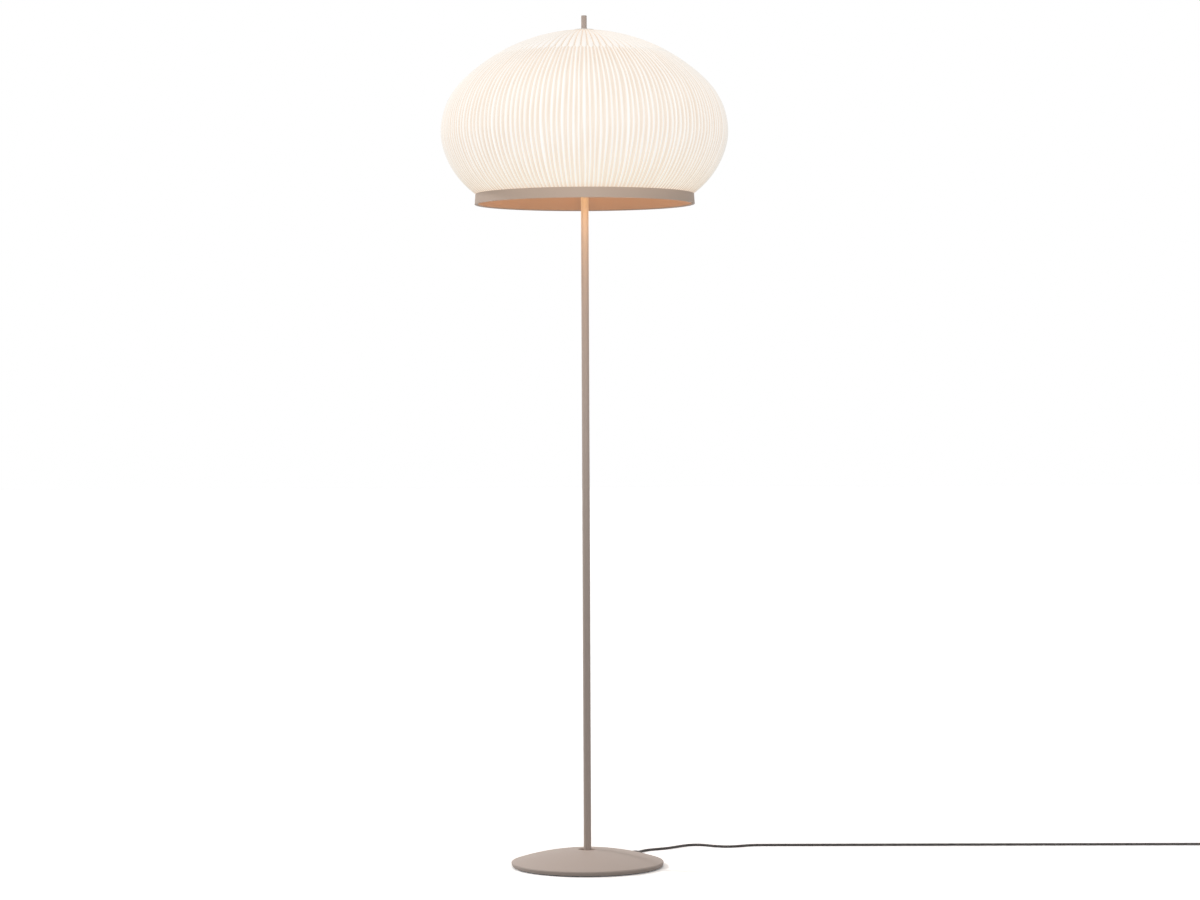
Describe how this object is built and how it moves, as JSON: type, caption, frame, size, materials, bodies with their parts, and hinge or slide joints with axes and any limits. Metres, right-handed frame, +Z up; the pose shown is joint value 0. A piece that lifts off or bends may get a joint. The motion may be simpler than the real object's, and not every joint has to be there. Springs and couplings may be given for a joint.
{
  "type": "floor lamp",
  "caption": "Floor lamp: weighted dome base, slim straight stem, ribbed knitted dome shade with a painted mouth ring, push-button dimmer rod on the crown, textile power cord.",
  "frame": {"origin": "centre of the base's underside, on the floor under the stem", "axes": "+Z up along the stem, +X the way the cord runs, -Y towards the viewer"},
  "size_m": [1.7296, 0.6273, 1.6931],
  "materials": {
    "warm_grey_paint": "matt textured powder coat",
    "white_knit": "ribbed thermoformed knit, lit from inside",
    "grey_cord": "braided textile sleeve",
    "grey_plastic": "fine matt moulded",
    "pin_metal": "plated",
    "cord_tie": "hook and loop strap",
    "pad_rubber": "matt foam rubber",
    "ballast_iron": "rough cast",
    "zinc_steel": "zinc plated",
    "white_paint": "matt white",
    "cast_aluminium": "machined",
    "white_plastic": "moulded",
    "opal_acrylic": "opal, lit",
    "board_white": "white solder mask",
    "led_phosphor": "warm phosphor",
    "black_plastic": "moulded",
    "foam_tape": "foam",
    "lead_sheath": "smooth sheath"
  },
  "bodies": {
    "lamp": {"base_cover": "warm_grey_paint", "stem_tube": "warm_grey_paint", "shade_ring": "warm_grey_paint", "knit_shade": "white_knit", "knit_liner": "white_knit", "power_cord": "grey_cord", "cord_coil": "grey_cord", "inlet_lead": "grey_cord", "cord_grommet": "grey_plastic", "plug_body": "grey_plastic", "plug_pins": "pin_metal", "cord_tie": "cord_tie", "base_pad": "pad_rubber", "base_weight": "ballast_iron", "base_bottom_plate": "zinc_steel", "bottom_plate_screws": "zinc_steel", "cord_clamp_screws": "zinc_steel", "stem_foot": "zinc_steel", "stem_washer": "zinc_steel", "stem_nut": "zinc_steel", "spider_screws": "zinc_steel", "spider_set_screw": "zinc_steel", "tube_cap_screws": "zinc_steel", "hub_set_screws": "zinc_steel", "button_spring": "zinc_steel", "ring_spider": "white_paint", "crown_cap": "white_paint", "light_core": "cast_aluminium", "crown_hub": "cast_aluminium", "lower_tube_cap": "white_plastic", "upper_tube_cap": "white_plastic", "led_driver": "white_plastic", "cord_clamp": "white_plastic", "opal_tube": "opal_acrylic", "led_boards": "board_white", "led_chips": "led_phosphor", "terminal_block": "black_plastic", "dimmer_switch": "black_plastic", "driver_tape": "foam_tape", "stem_lead": "lead_sheath", "link_lead": "lead_sheath", "board_lead": "lead_sheath"},
    "button": {"dimmer_button": "warm_grey_paint"}
  },
  "joints": [
    {"name": "dimmer_press", "type": "slide", "parent": "lamp", "child": "button", "axis": [0, 0, -1], "range_m": [0, 0.003], "stiffness_N_per_m": 600, "springref_m": -0.002, "deforming": ["button_spring"]}
  ]
}
